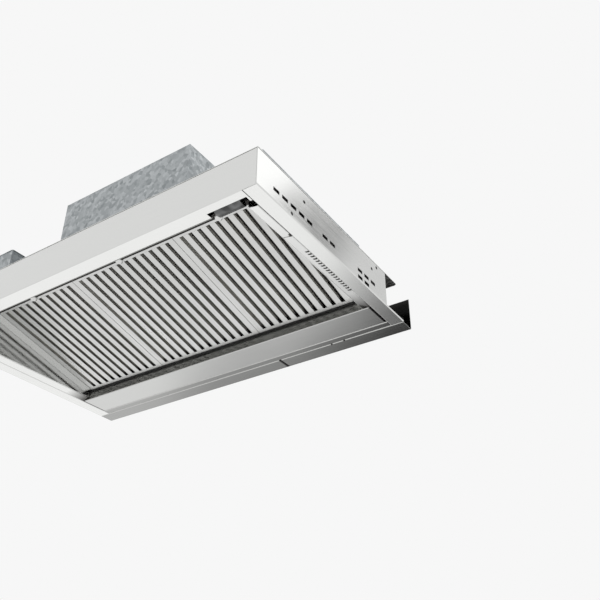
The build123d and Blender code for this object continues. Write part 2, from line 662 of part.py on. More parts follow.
def damper_flap(side):
    """Half-round flap with a sleeve on the rod: side +1 is nearer the wall."""
    radius = DUCT_R - BOX_SHEET - DAMPER_CLEAR
    disc = Cylinder(radius, DAMPER_T)
    keep = sorted((side * (DAMPER_SLEEVE_R + GAP), side * (radius + 1)))
    flap = disc & block(-radius - 1, radius + 1, *keep, -1, 1)
    sleeve_x = sorted((side * GAP, side * (radius - DAMPER_SLEEVE_SHORT)))
    tab = sorted((side * (DAMPER_ROD_R + GAP), side * (DAMPER_SLEEVE_R + DAMPER_TAB)))
    flap += block(*sleeve_x, *tab, -DAMPER_T / 2, DAMPER_T / 2)
    flap += rod_x(DAMPER_SLEEVE_R, *sleeve_x, 0, 0)
    flap -= rod_x(DAMPER_ROD_R + SHAFT_FIT, -radius, radius, 0, 0)
    return Pos(0, DUCT_Y, CHAMBER_Z + DAMPER_Z) * flap


# ---- blower ----------------------------------------------------------------
def scroll_outline(grow):
    """Volute of three quarter arcs, the outlet and the tongue, made larger all round by grow."""
    r1, r2, r3 = (SCROLL_R + n * SCROLL_STEP + grow for n in range(3))
    y1 = SHAFT_Y - SCROLL_SHIFT_Y
    z1 = SHAFT_Z - SCROLL_SHIFT_Z
    y2 = y1 + SCROLL_STEP
    z3 = z1 + SCROLL_STEP
    tongue_y = SHAFT_Y + TONGUE_IN - grow
    edges = [
        CenterArc((y1, z1), r1, 90, 90),
        CenterArc((y2, z1), r2, 180, 90),
        CenterArc((y2, z3), r3, 270, 90),
        Line((y2 + r3, z3), (y2 + r3, SCROLL_TOP)),
        Line((y2 + r3, SCROLL_TOP), (tongue_y, SCROLL_TOP)),
        Line((tongue_y, SCROLL_TOP), (tongue_y, z1 + r1)),
        Line((tongue_y, z1 + r1), (y1, z1 + r1)),
    ]
    return make_face(edges)


def mouth_y():
    """Inside of the outlet, from the tongue's wall to the far wall."""
    return (SHAFT_Y + TONGUE_IN + CHEEK_T, SHAFT_Y + SCROLL_FAR - CHEEK_T)


def scroll_wrap():
    """Band that winds round the wheel, open towards the duct."""
    outer = extrude(Plane.YZ * scroll_outline(0), amount=SCROLL_W, dir=(1, 0, 0))
    inner = extrude(Plane.YZ * scroll_outline(-CHEEK_T), amount=SCROLL_W + 2, dir=(1, 0, 0))
    band = Pos(-SCROLL_W / 2, 0, 0) * outer - Pos(-SCROLL_W / 2 - 1, 0, 0) * inner
    return band - block(-SCROLL_W, SCROLL_W, *mouth_y(), SCROLL_TOP - 2 * CHEEK_T, SCROLL_TOP + 1)


def outlet_plate():
    """Flat plate between the scroll's mouth and the chamber's top."""
    reach = DUCT_R + OUTLET_PLATE_LAP
    plate = block(-reach, reach, DUCT_Y - reach, DUCT_Y + reach, SCROLL_TOP, SCROLL_TOP + SHEET)
    half = SCROLL_W / 2 - CHEEK_T
    return plate - block(-half, half, *mouth_y(), SCROLL_TOP - 1, SCROLL_TOP + 2 * SHEET)


def scroll_cheek(side):
    """Side plate of the scroll with the inlet drawn inwards to a bell."""
    plate = extrude(Plane.YZ * scroll_outline(CHEEK_LAP), amount=CHEEK_T, dir=(1, 0, 0))
    plate &= block(-1, 2 * CHEEK_T, CHAMBER_FRONT_Y, CHAMBER_REAR_Y, 0, SCROLL_TOP)
    plate -= rod_x(INLET_R + INLET_BELL, -1, 2 * CHEEK_T, SHAFT_Y, SHAFT_Z)
    bell = [
        (INLET_R + INLET_BELL, 0),
        (INLET_R + INLET_BELL, CHEEK_T),
        (INLET_R, CHEEK_T),
        (INLET_R, CHEEK_T - INLET_BELL),
        (INLET_R + CHEEK_T, CHEEK_T - INLET_BELL),
        (INLET_R + CHEEK_T, 0),
    ]
    ring = revolve(Plane.XZ * make_face(Polyline(*bell, close=True)), Axis.Z)
    plate += Pos(0, SHAFT_Y, SHAFT_Z) * Rot(0, 90, 0) * ring
    plate = Pos(SCROLL_W / 2, 0, 0) * plate
    if side < 0:
        plate = mirror(plate, about=Plane.YZ)
    return plate


def blower_wheel():
    """Squirrel-cage wheel: hub plate in the middle, blades to both sides, ring at each end."""
    half = WHEEL_W / 2
    tip = WHEEL_R
    root = WHEEL_R - BLADE_DEPTH
    middle = (root + tip) / 2
    outline = [
        (root, 0),
        (middle, BLADE_LEAN / 4),
        (tip, BLADE_LEAN),
        (tip, BLADE_LEAN + BLADE_T),
        (middle, BLADE_LEAN / 4 + BLADE_T),
        (root, BLADE_T),
    ]
    blade = extrude(make_face(Polyline(*outline, close=True)), amount=half - WHEEL_RING / 2, both=True)
    wheel = Cylinder(WHEEL_R - BLADE_DEPTH / 2, HUB_PLATE_T) + Cylinder(HUB_R, HUB_LEN)
    wheel += [Rot(0, 0, 360 * n / BLADES) * blade for n in range(BLADES)]
    ring = Cylinder(WHEEL_R + WHEEL_RING_LAP, WHEEL_RING) - Cylinder(WHEEL_R - BLADE_DEPTH / 2, WHEEL_RING)
    wheel += [Pos(0, 0, side * (half - WHEEL_RING / 2)) * ring for side in (-1, 1)]
    wheel -= Cylinder(SHAFT_R, HUB_LEN + 1)
    return Pos(0, SHAFT_Y, SHAFT_Z) * Rot(0, 90, 0) * wheel


def motor_shaft():
    return rod_x(SHAFT_R, -HUB_LEN / 2, MOTOR_X + MOTOR_LEN - MOTOR_END, SHAFT_Y, SHAFT_Z)


def motor_body():
    """Round motor with stepped ends, a boss, and the bore that its shaft turns in."""
    x1 = MOTOR_X + MOTOR_LEN
    body = rod_x(MOTOR_R, MOTOR_X + MOTOR_END, x1 - MOTOR_END, SHAFT_Y, SHAFT_Z)
    body += rod_x(MOTOR_R - MOTOR_STEP, MOTOR_X, x1, SHAFT_Y, SHAFT_Z)
    body += rod_x(HUB_R, MOTOR_X - MOTOR_BOSS, MOTOR_X, SHAFT_Y, SHAFT_Z)
    body -= rod_x(SHAFT_R + SHAFT_FIT, MOTOR_X - MOTOR_BOSS - 1, x1 - MOTOR_END + 1, SHAFT_Y, SHAFT_Z)
    return body


def motor_bracket():
    """Ring round the motor's front edge with three arms to the right-hand cheek."""
    x0 = MOTOR_X + ARM_IN
    cheek = SCROLL_W / 2 + CHEEK_T
    reach = INLET_R + INLET_BELL + ARM_W
    half = ARM_W / 2
    ring = rod_x(MOTOR_R + GAP + ARM_T, x0, x0 + ARM_W, SHAFT_Y, SHAFT_Z)
    ring -= rod_x(MOTOR_R + GAP / 2, MOTOR_X, MOTOR_X + MOTOR_LEN, SHAFT_Y, SHAFT_Z)
    arm = block(x0, x0 + ARM_T, -half, half, MOTOR_R + ARM_T / 2, reach)
    arm += block(cheek, x0 + ARM_T, -half, half, reach - ARM_T, reach)
    arm += block(cheek, cheek + ARM_T, -half, half, reach - ARM_W, reach)
    for angle in ARM_ANGLES:
        ring += Pos(0, SHAFT_Y, SHAFT_Z) * Rot(angle, 0, 0) * arm
    return ring


# ---- lamps ----------------------------------------------------------------
def lamp_can():
    """Deep-drawn cup behind the lamp plate, open to the recess."""
    can = Pos(0, 0, -LAMP_CAN_DEPTH / 2 - MID) * Cylinder(LAMP_R, LAMP_CAN_DEPTH)
    can -= Pos(0, 0, -LAMP_CAN_DEPTH / 2 - MID + SHEET) * Cylinder(LAMP_R - SHEET, LAMP_CAN_DEPTH)
    can += Cylinder(LAMP_R, SHEET) - Cylinder(LAMP_R - SHEET, SHEET)
    return can


def lamp_bezel():
    outline = [
        (LAMP_R - 2 * SHEET, MID),
        (LAMP_BEZEL_R, MID),
        (LAMP_BEZEL_R, MID + LAMP_BEZEL_EDGE),
        (LAMP_BEZEL_R - LAMP_BEZEL_SLOPE, MID + LAMP_BEZEL_H),
        (LAMP_R - 2 * SHEET, MID + LAMP_BEZEL_H),
    ]
    return revolve(Plane.XZ * make_face(Polyline(*outline, close=True)), Axis.Z)


def lamp_lens():
    radius = LAMP_R - 2 * SHEET - LAMP_LENS_FIT
    lens = Pos(0, 0, MID + LAMP_LENS_T / 2) * Cylinder(radius, LAMP_LENS_T)
    return chamfer(lens.edges().group_by(Axis.Z)[-1], LAMP_LENS_BEVEL)


# ---- control paddle ----------------------------------------------------------------
def sector(radius, x0, x1):
    """Wedge of a cylinder round the paddle's pin, straight down and PADDLE_HALF to each side."""
    half = radians(PADDLE_HALF)
    left = (-radius * sin(half), -radius * cos(half))
    right = (-left[0], left[1])
    outline = [Line((0, 0), left), ThreePointArc(left, (0, -radius), right), Line(right, (0, 0))]
    return Pos(x0, 0, 0) * extrude(Plane.YZ * make_face(outline), amount=x1 - x0, dir=(1, 0, 0))


def control_paddle():
    """Curved strap with an end arm at each side, rocking on its pin."""
    paddle = sector(PADDLE_R, PADDLE_X0, PADDLE_X1)
    paddle -= sector(PADDLE_R - PADDLE_T, PADDLE_X0 + PADDLE_T, PADDLE_X1 - PADDLE_T)
    paddle += rod_x(PADDLE_BOSS_R, PADDLE_X0, PADDLE_X0 + 2 * PADDLE_T, 0, 0)
    paddle += rod_x(PADDLE_BOSS_R, PADDLE_X1 - 2 * PADDLE_T, PADDLE_X1, 0, 0)
    paddle -= rod_x(PADDLE_PIN_R + SHAFT_FIT, PADDLE_X0 - 1, PADDLE_X1 + 1, 0, 0)
    return Pos(0, PADDLE_Y, PADDLE_Z) * paddle


def ears():
    """Left faces of the bracket's two ears, one beside each end of the paddle."""
    return (PADDLE_X0 - GAP - EAR_T, PADDLE_X1 + GAP)


def paddle_pin():
    left, right = ears()
    return rod_x(PADDLE_PIN_R, left - PADDLE_PIN_END, right + EAR_T + PADDLE_PIN_END, PADDLE_Y, PADDLE_Z)


def paddle_bracket():
    """Base on the front rail with two ears that hold the pin."""
    left, right = ears()
    y0 = Y_FRONT + BRACKET_IN
    y1 = Y_FRONT_IN - NOTCH_DEPTH - BRACKET_SETBACK
    top = PADDLE_Z + PADDLE_BOSS_R + EAR_TOP
    bracket = block(left, right + EAR_T, y0, y1, SHEET, SHEET + EAR_T)
    outline = [
        (y0, SHEET),
        (y1, SHEET),
        (PADDLE_Y + EAR_HALF, PADDLE_Z - PADDLE_BOSS_R - EAR_TOP),
        (PADDLE_Y + EAR_HALF, top),
        (PADDLE_Y - EAR_HALF, top),
        (y0, SHEET + EAR_FOOT),
    ]
    for x in (left, right):
        bracket += plate_x(outline, x, x + EAR_T)
    bracket -= rod_x(PADDLE_PIN_R + SHAFT_FIT, left - 1, right + EAR_T + 1, PADDLE_Y, PADDLE_Z)
    return bracket


def switch_box():
    """Closed switch housing on the front wall, above the paddle."""
    x0 = PADDLE_X0 + SWITCH_INSET
    x1 = PADDLE_X1 - SWITCH_INSET
    y0 = Y_FRONT + SHEET
    box = block(x0, x1, y0, y0 + SWITCH_D, SWITCH_Z, SWITCH_Z + SWITCH_H)
    return chamfer(box.edges().filter_by(Axis.X).group_by(Axis.Y)[-1], SWITCH_BEVEL)


# ---- electrical boxes ----------------------------------------------------------------
def junction_box():
    """Wiring box on the roof plate, open at the top, with the bushing's hole."""
    box = block(JUNCTION_X0, JUNCTION_X1, JUNCTION_Y0, JUNCTION_Y1, SKIRT_H, SKIRT_H + JUNCTION_H)
    s = SHEET
    box -= block(JUNCTION_X0 + s, JUNCTION_X1 - s, JUNCTION_Y0 + s, JUNCTION_Y1 - s,
                 SKIRT_H + s, SKIRT_H + JUNCTION_H + 1)
    middle_y = (JUNCTION_Y0 + JUNCTION_Y1) / 2
    box -= rod_x(BUSHING_R, JUNCTION_X0 - 1, JUNCTION_X0 + 2 * s, middle_y, SKIRT_H + JUNCTION_H / 2)
    return box


def junction_cover():
    z = SKIRT_H + JUNCTION_H
    cover = block(JUNCTION_X0 - COVER_LAP, JUNCTION_X1 + COVER_LAP, JUNCTION_Y0 - COVER_LAP,
                  JUNCTION_Y1 + COVER_LAP, z, z + SHEET)
    return fillet(cover.edges().filter_by(Axis.Z), COVER_CORNER_R)


def wire_bushing():
    """Grommet in the junction box's side, with an open bore for the supply wires."""
    inside = BUSHING_LIP + SHEET + BUSHING_FIT
    outline = [
        (BUSHING_R - BUSHING_WALL, 0),
        (BUSHING_R + BUSHING_LIP, 0),
        (BUSHING_R + BUSHING_LIP, BUSHING_LIP - BUSHING_FIT),
        (BUSHING_R - BUSHING_FIT, BUSHING_LIP - BUSHING_FIT),
        (BUSHING_R - BUSHING_FIT, inside),
        (BUSHING_R + BUSHING_BARB, inside),
        (BUSHING_R + BUSHING_FIT, BUSHING_LEN),
        (BUSHING_R - BUSHING_WALL, BUSHING_LEN),
    ]
    ring = revolve(Plane.XZ * make_face(Polyline(*outline, close=True)), Axis.Z)
    middle_y = (JUNCTION_Y0 + JUNCTION_Y1) / 2
    return Pos(JUNCTION_X0 - BUSHING_LIP, middle_y, SKIRT_H + JUNCTION_H / 2) * Rot(0, 90, 0) * ring


def capacitor():
    """Motor capacitor on the chamber's left wall, standing on the plenum's flange."""
    x = -CHAMBER_W / 2 - CAPACITOR_R - BOX_FLANGE
    z0 = PLENUM_Z
    y = (CHAMBER_FRONT_Y + CHAMBER_REAR_Y) / 2
    can = rod_z(CAPACITOR_R, x, y, z0, z0 + CAPACITOR_LEN)
    return chamfer(can.edges().group_by(Axis.Z)[-1], CAPACITOR_BEVEL)


# ---- build ----------------------------------------------------------------
os.makedirs("parts", exist_ok=True)

for side, word in ((1, "right"), (-1, "left")):
    save(side_panel(side), "side_panel_" + word)
    save(side_web(side), "recess_side_web_" + word)
    save(side_ledge(side), "side_ledge_" + word)
    save(corner_cover(side), "corner_cover_" + word)
    save(scroll_cheek(side), "scroll_cheek_" + word)
    save(lamp_frame(side * LAMP_X) * lamp_can(), "lamp_can_" + word)
    save(lamp_frame(side * LAMP_X) * lamp_bezel(), "lamp_bezel_" + word)
    save(lamp_frame(side * LAMP_X) * lamp_lens(), "lamp_lens_" + word)

save(front_panel(), "front_panel")
save(rear_flange(), "rear_flange")
save(rear_strip(), "rear_strip")
save(rear_filler_panel(), "rear_filler_panel")
save(recess_rear_wall(), "recess_rear_wall")
save(filter_rear_rail(), "filter_rear_rail")
save(roof_plate(), "roof_plate")
save(lamp_plate(), "lamp_plate")

save_filter("filter_right", SIDE_FILTER_X, SIDE_FILTER_W, SIDE_SLOTS)
save_filter("filter_centre", 0, CENTRE_FILTER_W, CENTRE_SLOTS)
save_filter("filter_left", -SIDE_FILTER_X, SIDE_FILTER_W, SIDE_SLOTS)

save(plenum_box(), "plenum_box")
save(blower_chamber(), "blower_chamber")
save(duct_collar(), "duct_collar")
save(damper_rod(), "damper_rod")
save(damper_flap(-1), "damper_flap_front")
save(damper_flap(1), "damper_flap_rear")

save(scroll_wrap(), "scroll_wrap")
save(outlet_plate(), "outlet_plate")
save(blower_wheel(), "blower_wheel")
save(motor_shaft(), "motor_shaft")
save(motor_body(), "motor_body")
save(motor_bracket(), "motor_bracket")
save(capacitor(), "capacitor")

save(control_paddle(), "control_paddle")
save(paddle_pin(), "paddle_pin")
save(paddle_bracket(), "paddle_bracket")
save(switch_box(), "switch_box")
save(junction_box(), "junction_box")
save(junction_cover(), "junction_cover")
save(wire_bushing(), "wire_bushing")
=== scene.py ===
import json
from math import cos, pi, radians, sin, tan

import bpy
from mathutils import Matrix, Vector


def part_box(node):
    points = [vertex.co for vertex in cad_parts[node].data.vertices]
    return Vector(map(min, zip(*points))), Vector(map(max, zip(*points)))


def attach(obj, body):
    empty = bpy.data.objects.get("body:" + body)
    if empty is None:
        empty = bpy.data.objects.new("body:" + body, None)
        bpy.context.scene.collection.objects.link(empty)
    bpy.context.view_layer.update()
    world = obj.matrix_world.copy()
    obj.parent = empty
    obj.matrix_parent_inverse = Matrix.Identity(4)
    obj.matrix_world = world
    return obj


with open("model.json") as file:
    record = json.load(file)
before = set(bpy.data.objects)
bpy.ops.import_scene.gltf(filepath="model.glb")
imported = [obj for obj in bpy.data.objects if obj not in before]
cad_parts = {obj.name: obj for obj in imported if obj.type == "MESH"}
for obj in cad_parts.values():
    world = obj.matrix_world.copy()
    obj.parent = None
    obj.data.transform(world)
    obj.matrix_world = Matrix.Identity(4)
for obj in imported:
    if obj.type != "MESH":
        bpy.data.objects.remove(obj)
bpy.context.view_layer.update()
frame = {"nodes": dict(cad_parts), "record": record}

# Liner: front panel, upright webs beside the filters and roof plate, folded from 1.2 mm stainless
# sheet and spot welded. The sheet was brushed lengthwise in the coil, and its fine parallel scratches
# smear what it mirrors. The roof plate, out of sight once the hood is fitted, was left matt.
LINER_STEEL = ("#d0d1d0", "#d8d8d6")
GRAIN_WIDTH_MM = 1.3            # the real scratches are 0.1 mm wide: drawn coarser, so that they show
GRAIN_LENGTH_MM = 90.0
SMEAR_MM = 130.0                # hands and cloths leave patches of this size
MOTTLE_ENDS = (0.1, 0.4)        # grain times smear lies mostly between these
SCRATCH_DEPTH = 0.0004


def linear(hex_colour):
    """sRGB hex to the linear colour that the shaders take."""
    parts = [int(hex_colour[i:i + 2], 16) / 255 for i in (1, 3, 5)]
    return tuple(p / 12.92 if p < 0.04045 else ((p + 0.055) / 1.055) ** 2.4 for p in parts) + (1.0,)


def add(tree, kind, inputs=None, **settings):
    """Adds a node and returns its outputs. Each input is a value or another node's output."""
    node = tree.nodes.new(kind)
    for name, value in settings.items():
        setattr(node, name, value)
    for name, value in (inputs or {}).items():
        if isinstance(value, bpy.types.NodeSocket):
            tree.links.new(value, node.inputs[name])
        else:
            node.inputs[name].default_value = value
    return node.outputs


def start_material(name):
    """An empty material and its node tree."""
    material = bpy.data.materials.new(name)
    material.use_nodes = True
    material.node_tree.nodes.clear()
    return material, material.node_tree


def per_metre(mm):
    """Scale, in a world of metres, of a pattern that repeats about every mm millimetres."""
    return 1000.0 / mm


def brushed_metal(name, colours, along, rough=(0.10, 0.18), grain_mm=GRAIN_WIDTH_MM, bump=0.04, film=None):
    """Metal with a grain along the X, Y or Z axis. film(tree, here, tint) lays marks over its colour."""
    material, tree = start_material(name)
    here = add(tree, "ShaderNodeTexCoord")["Object"]
    stretch = [per_metre(grain_mm)] * 3
    stretch["XYZ".index(along)] = per_metre(GRAIN_LENGTH_MM)
    drawn_out = add(tree, "ShaderNodeMapping", {"Vector": here, "Scale": stretch})["Vector"]
    grain = add(tree, "ShaderNodeTexNoise",
                {"Vector": drawn_out, "Scale": 1.0, "Detail": 3.0, "Roughness": 0.6})["Fac"]
    smear = add(tree, "ShaderNodeTexNoise",
                {"Vector": here, "Scale": per_metre(SMEAR_MM), "Detail": 2.0})["Fac"]
    mottle = add(tree, "ShaderNodeMath", {0: grain, 1: smear}, operation="MULTIPLY")["Value"]
    tint = add(tree, "ShaderNodeMix", {"Factor": grain, "A": linear(colours[0]), "B": linear(colours[1])},
               data_type="RGBA")["Result"]
    if film:
        tint = film(tree, here, tint)
    gloss = add(tree, "ShaderNodeMapRange",
                {"Value": mottle, "From Min": MOTTLE_ENDS[0], "From Max": MOTTLE_ENDS[1],
                 "To Min": rough[0], "To Max": rough[1]})["Result"]
    scratches = add(tree, "ShaderNodeBump",
                    {"Height": grain, "Strength": bump, "Distance": SCRATCH_DEPTH})["Normal"]
    metal = add(tree, "ShaderNodeBsdfPrincipled",
                {"Base Color": tint, "Metallic": 1.0, "Roughness": gloss, "Normal": scratches})["BSDF"]
    add(tree, "ShaderNodeOutputMaterial", {"Surface": metal})
    return material


def finish_nodes(material, *names):
    """Gives carried-over CAD nodes their finish."""
    for name in names:
        mesh = frame["nodes"][name].data
        mesh.materials.clear()
        mesh.materials.append(material)


finish_nodes(brushed_metal("brushed_stainless_liner_across", LINER_STEEL, "X"), "front_panel")
finish_nodes(brushed_metal("brushed_stainless_liner_deep", LINER_STEEL, "Y"),
             "recess_side_web_right", "recess_side_web_left")
finish_nodes(brushed_metal("matt_stainless_roof", LINER_STEEL, "X", rough=(0.35, 0.5)), "roof_plate")

# Side panels: the same brushed sheet. Painted shade lies in a dark rim round the slots and the small pilot
# holes, and a dark disc of a hole's size near the lower edge is a painted hole.
HOLE_SHADE_COLOUR = "#2e2d2c"
SLOT_SHADE_WIDTH = 0.0010             # round a slot
SPOT_R = 0.0038                 # of the painted hole, and of the painted shade round a pilot hole
PILOT_HOLES_YZ = ((-0.435, 0.060), (-0.178, 0.059), (-0.156, 0.074))
PAINTED_HOLE_YZ = (-0.475, 0.0062)


def over(tree, tint, colour, cover):
    """A film of one colour over the sheet, as thick as cover says."""
    return add(tree, "ShaderNodeMix", {"Factor": cover, "A": tint, "B": linear(colour)},
               data_type="RGBA")["Result"]


def within(tree, axes, box):
    """1 inside a box, a dict of axis to its lowest and highest place, and 0 outside."""
    cover = None
    for axis, (low, high) in box.items():
        inside = add(tree, "ShaderNodeMath", {0: axes[axis], 1: (low + high) / 2, 2: (high - low) / 2},
                     operation="COMPARE")["Value"]
        if cover is None:
            cover = inside
        else:
            cover = add(tree, "ShaderNodeMath", {0: cover, 1: inside}, operation="MULTIPLY")["Value"]
    return cover


def patched(colour, *boxes):
    """A film of one colour inside boxes."""
    def film(tree, here, tint):
        axes = add(tree, "ShaderNodeSeparateXYZ", {0: here})
        for box in boxes:
            tint = over(tree, tint, colour, within(tree, axes, box))
        return tint
    return film


def layered(*films):
    """Films one after another, with the last on top."""
    def film(tree, here, tint):
        for layer in films:
            tint = layer(tree, here, tint)
        return tint
    return film


def hole_shade_spots(tree, here, tint):
    """Painted shade: dark discs, of which a pilot hole leaves only a dark rim."""
    beside = add(tree, "ShaderNodeVectorMath", {0: here, 1: (0.0, 1.0, 1.0)}, operation="MULTIPLY")["Vector"]
    for y, z in (*PILOT_HOLES_YZ, PAINTED_HOLE_YZ):
        away = add(tree, "ShaderNodeVectorMath", {0: beside, 1: (0.0, y, z)}, operation="DISTANCE")["Value"]
        near = add(tree, "ShaderNodeMath", {0: away, 1: SPOT_R}, operation="LESS_THAN")["Value"]
        tint = over(tree, tint, HOLE_SHADE_COLOUR, near)
    return tint


def slot_shade_boxes():
    """Boxes of painted shade round the slots, through both panels. Each of the record's mounts for the slots
    names a pair.
    """
    boxes = []
    for mount in frame["record"]["mounts"]:
        if not mount["name"].startswith("slots_right"):
            continue
        spacing, length, half_width = (mount["dims"][size] / 1000
                                       for size in ("spacing_x_mm", "slot_length_mm", "hole_r_mm"))
        middle_y, z = mount["pos_m"][1:]
        reach = length / 2 + SLOT_SHADE_WIDTH
        rise = half_width + SLOT_SHADE_WIDTH
        for y in (middle_y - spacing / 2, middle_y + spacing / 2):
            boxes.append({"Y": (y - reach, y + reach), "Z": (z - rise, z + rise)})
    return boxes


# Painted shade round the slots and pilot holes, and the painted hole.
painted_hole_shade = layered(hole_shade_spots, patched(HOLE_SHADE_COLOUR, *slot_shade_boxes()))
finish_nodes(brushed_metal("brushed_stainless_side_panels", LINER_STEEL, "Y", film=painted_hole_shade),
             "side_panel_right", "side_panel_left")

# Corner covers: the same brushed sheet. A dark band where each one meets its ledge is painted shade
# in that joint, and a dark patch at the outer corner there is a painted notch.
JOINT_SHADE_COLOUR = "#4c4b49"
JOINT_SHADE_WIDTH = 0.0016
PAINTED_NOTCH_WIDTH = 0.0036
PAINTED_NOTCH_LENGTH = 0.0075
cover_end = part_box("corner_cover_right")[1]
painted_notch_y = (cover_end.y - PAINTED_NOTCH_LENGTH, cover_end.y)
# Painted shade in the joint with the ledge, and a painted notch at each outer corner.
joint_and_notch_shade = patched(JOINT_SHADE_COLOUR, {"Y": (cover_end.y - JOINT_SHADE_WIDTH, cover_end.y + JOINT_SHADE_WIDTH)},
                  {"X": (cover_end.x - PAINTED_NOTCH_WIDTH, cover_end.x), "Y": painted_notch_y},
                  {"X": (-cover_end.x, PAINTED_NOTCH_WIDTH - cover_end.x), "Y": painted_notch_y})
finish_nodes(brushed_metal("brushed_stainless_corner_covers", LINER_STEEL, "Y", film=joint_and_notch_shade),
             "corner_cover_right", "corner_cover_left")

# Ledges: the same brushed sheet, darker towards the rear. The right one meets its side panel's rail,
# and beside that seam an even row of short dark strokes is a painted reflection of the filters' slots.
REAR_DARKENING_COLOUR = "#444341"
DARKENING_START = 0.0605            # ahead of the ledges' rear ends
DARKENING_FULL = 0.0045
DARKENING_MOST = 0.95
SLOT_REFLECTION_COLOUR = "#2c2a28"
REFLECTED_SLOT_PITCH = 0.0093
REFLECTED_SLOT_LENGTH = 0.0046
REFLECTIONS_WIDTH = 0.0080
REFLECTIONS_EDGE = 0.0004             # in from the ledge's outer edge
REFLECTIONS_START = 0.0540            # back from its front end
REFLECTIONS_END = 0.2180
ledge_low, ledge_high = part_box("side_ledge_right")


def darker_to_rear(tree, here, tint):
    """Darker towards the rear."""
    y = add(tree, "ShaderNodeSeparateXYZ", {0: here})["Y"]
    darkening = add(tree, "ShaderNodeMapRange",
                {"Value": y, "From Min": ledge_high.y - DARKENING_START, "From Max": ledge_high.y - DARKENING_FULL,
                 "To Max": DARKENING_MOST})["Result"]
    return over(tree, tint, REAR_DARKENING_COLOUR, darkening)


def painted_slot_reflections(tree, here, tint):
    """Painted reflection of the filters' slots: short dark strokes beside the right ledge's outer edge."""
    axes = add(tree, "ShaderNodeSeparateXYZ", {0: here})
    along = add(tree, "ShaderNodeMath", {0: axes["Y"], 1: REFLECTED_SLOT_PITCH}, operation="FLOORED_MODULO")["Value"]
    reflected_slot = add(tree, "ShaderNodeMath", {0: along, 1: REFLECTED_SLOT_LENGTH}, operation="LESS_THAN")["Value"]
    outer_x = ledge_high.x - REFLECTIONS_EDGE
    row = within(tree, axes, {"X": (outer_x - REFLECTIONS_WIDTH, outer_x),
                              "Y": (ledge_low.y + REFLECTIONS_START, ledge_low.y + REFLECTIONS_END)})
    cover = add(tree, "ShaderNodeMath", {0: reflected_slot, 1: row}, operation="MULTIPLY")["Value"]
    return over(tree, tint, SLOT_REFLECTION_COLOUR, cover)


finish_nodes(brushed_metal("brushed_stainless_ledge", LINER_STEEL, "Y", film=darker_to_rear), "side_ledge_left")
# The right ledge also carries the painted reflection of the filters' slots.
finish_nodes(brushed_metal("brushed_stainless_stitched_ledge", LINER_STEEL, "Y",
                           film=layered(darker_to_rear, painted_slot_reflections)), "side_ledge_right")

# Rear of the liner: inset panel, strip and flange, cut from plain mill-finish sheet, a shade greyer
# than the brushed faces. Light lines along the bends are painted highlights. Painted shade darkens the
# panel's ends, the flange's seam and notches, and all over the inner side of its upright wall.
INSET_STEEL = ("#b2b3b2", "#bebebc")
FLANGE_STEEL = ("#8b8c8b", "#979795")
BEND_HIGHLIGHT_COLOUR = "#bcbcba"
BEND_HIGHLIGHT_WIDTH = 0.0020
PAINTED_SHADE_COLOUR = "#323130"
SHADE_FROM = 0.0022              # height over the flange's lower face
UNSHADED_SKIN = 0.0005             # keeps the painted shade off the upright's outer face
END_SHADE = 0.0025
SEAM_X = 0.1335                 # left edge of the seam
SEAM_SHADE = 0.0036              # to each side of that edge
NOTCHES_X = (0.276, 0.309)
NOTCH_HALF_W = 0.0024
NOTCH_DEPTH = 0.0040
FAR = 1.0                       # beyond the hood on any side

inset_low, inset_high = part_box("rear_filler_panel")
# Painted shade in the gaps at the inset panel's ends.
shaded_ends = patched(PAINTED_SHADE_COLOUR, {"X": (-FAR, inset_low.x + END_SHADE)},
                      {"X": (inset_high.x - END_SHADE, FAR)})
finish_nodes(brushed_metal("mill_finish_stainless_inset", INSET_STEEL, "X", film=shaded_ends),
             "rear_filler_panel")

strip_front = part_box("rear_strip")[0].y
# Painted highlight along the strip's front bend.
strip_bend_highlight = patched(BEND_HIGHLIGHT_COLOUR, {"Y": (strip_front, strip_front + BEND_HIGHLIGHT_WIDTH)})
finish_nodes(brushed_metal("mill_finish_stainless_strip", FLANGE_STEEL, "X", film=strip_bend_highlight),
             "rear_strip")

flange_low, flange_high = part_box("rear_flange")
flange_front = flange_low.y
notches = [{"X": (x - NOTCH_HALF_W, x + NOTCH_HALF_W), "Y": (flange_front, flange_front + NOTCH_DEPTH)}
         for x in NOTCHES_X]
# Painted highlight along the flange's front bend; painted shade on its upright's inner side, in its seam and
# in its notches.
highlighted_and_shaded_flange = layered(
    patched(BEND_HIGHLIGHT_COLOUR, {"Y": (flange_front, flange_front + BEND_HIGHLIGHT_WIDTH)}),
    patched(PAINTED_SHADE_COLOUR, {"Y": (-FAR, flange_high.y - UNSHADED_SKIN), "Z": (SHADE_FROM, FAR)},
            {"X": (SEAM_X - SEAM_SHADE, SEAM_X + SEAM_SHADE)}, *notches))
finish_nodes(brushed_metal("mill_finish_stainless_flange", FLANGE_STEEL, "X", film=highlighted_and_shaded_flange),
             "rear_flange")

# Rear wall of the recess and lamp plate: the liner's brushed sheet, folded and spot welded in at
# the filters' rear and front ends. It is drawn rougher, and its colour is a darker copy of the liner's:
# painted shade deep in the recess.
SHADED_STEEL = ("#929290", "#a0a09c")
finish_nodes(brushed_metal("fume_dulled_stainless_recess", SHADED_STEEL, "X", rough=(0.22, 0.36)),
             "recess_rear_wall", "lamp_plate")

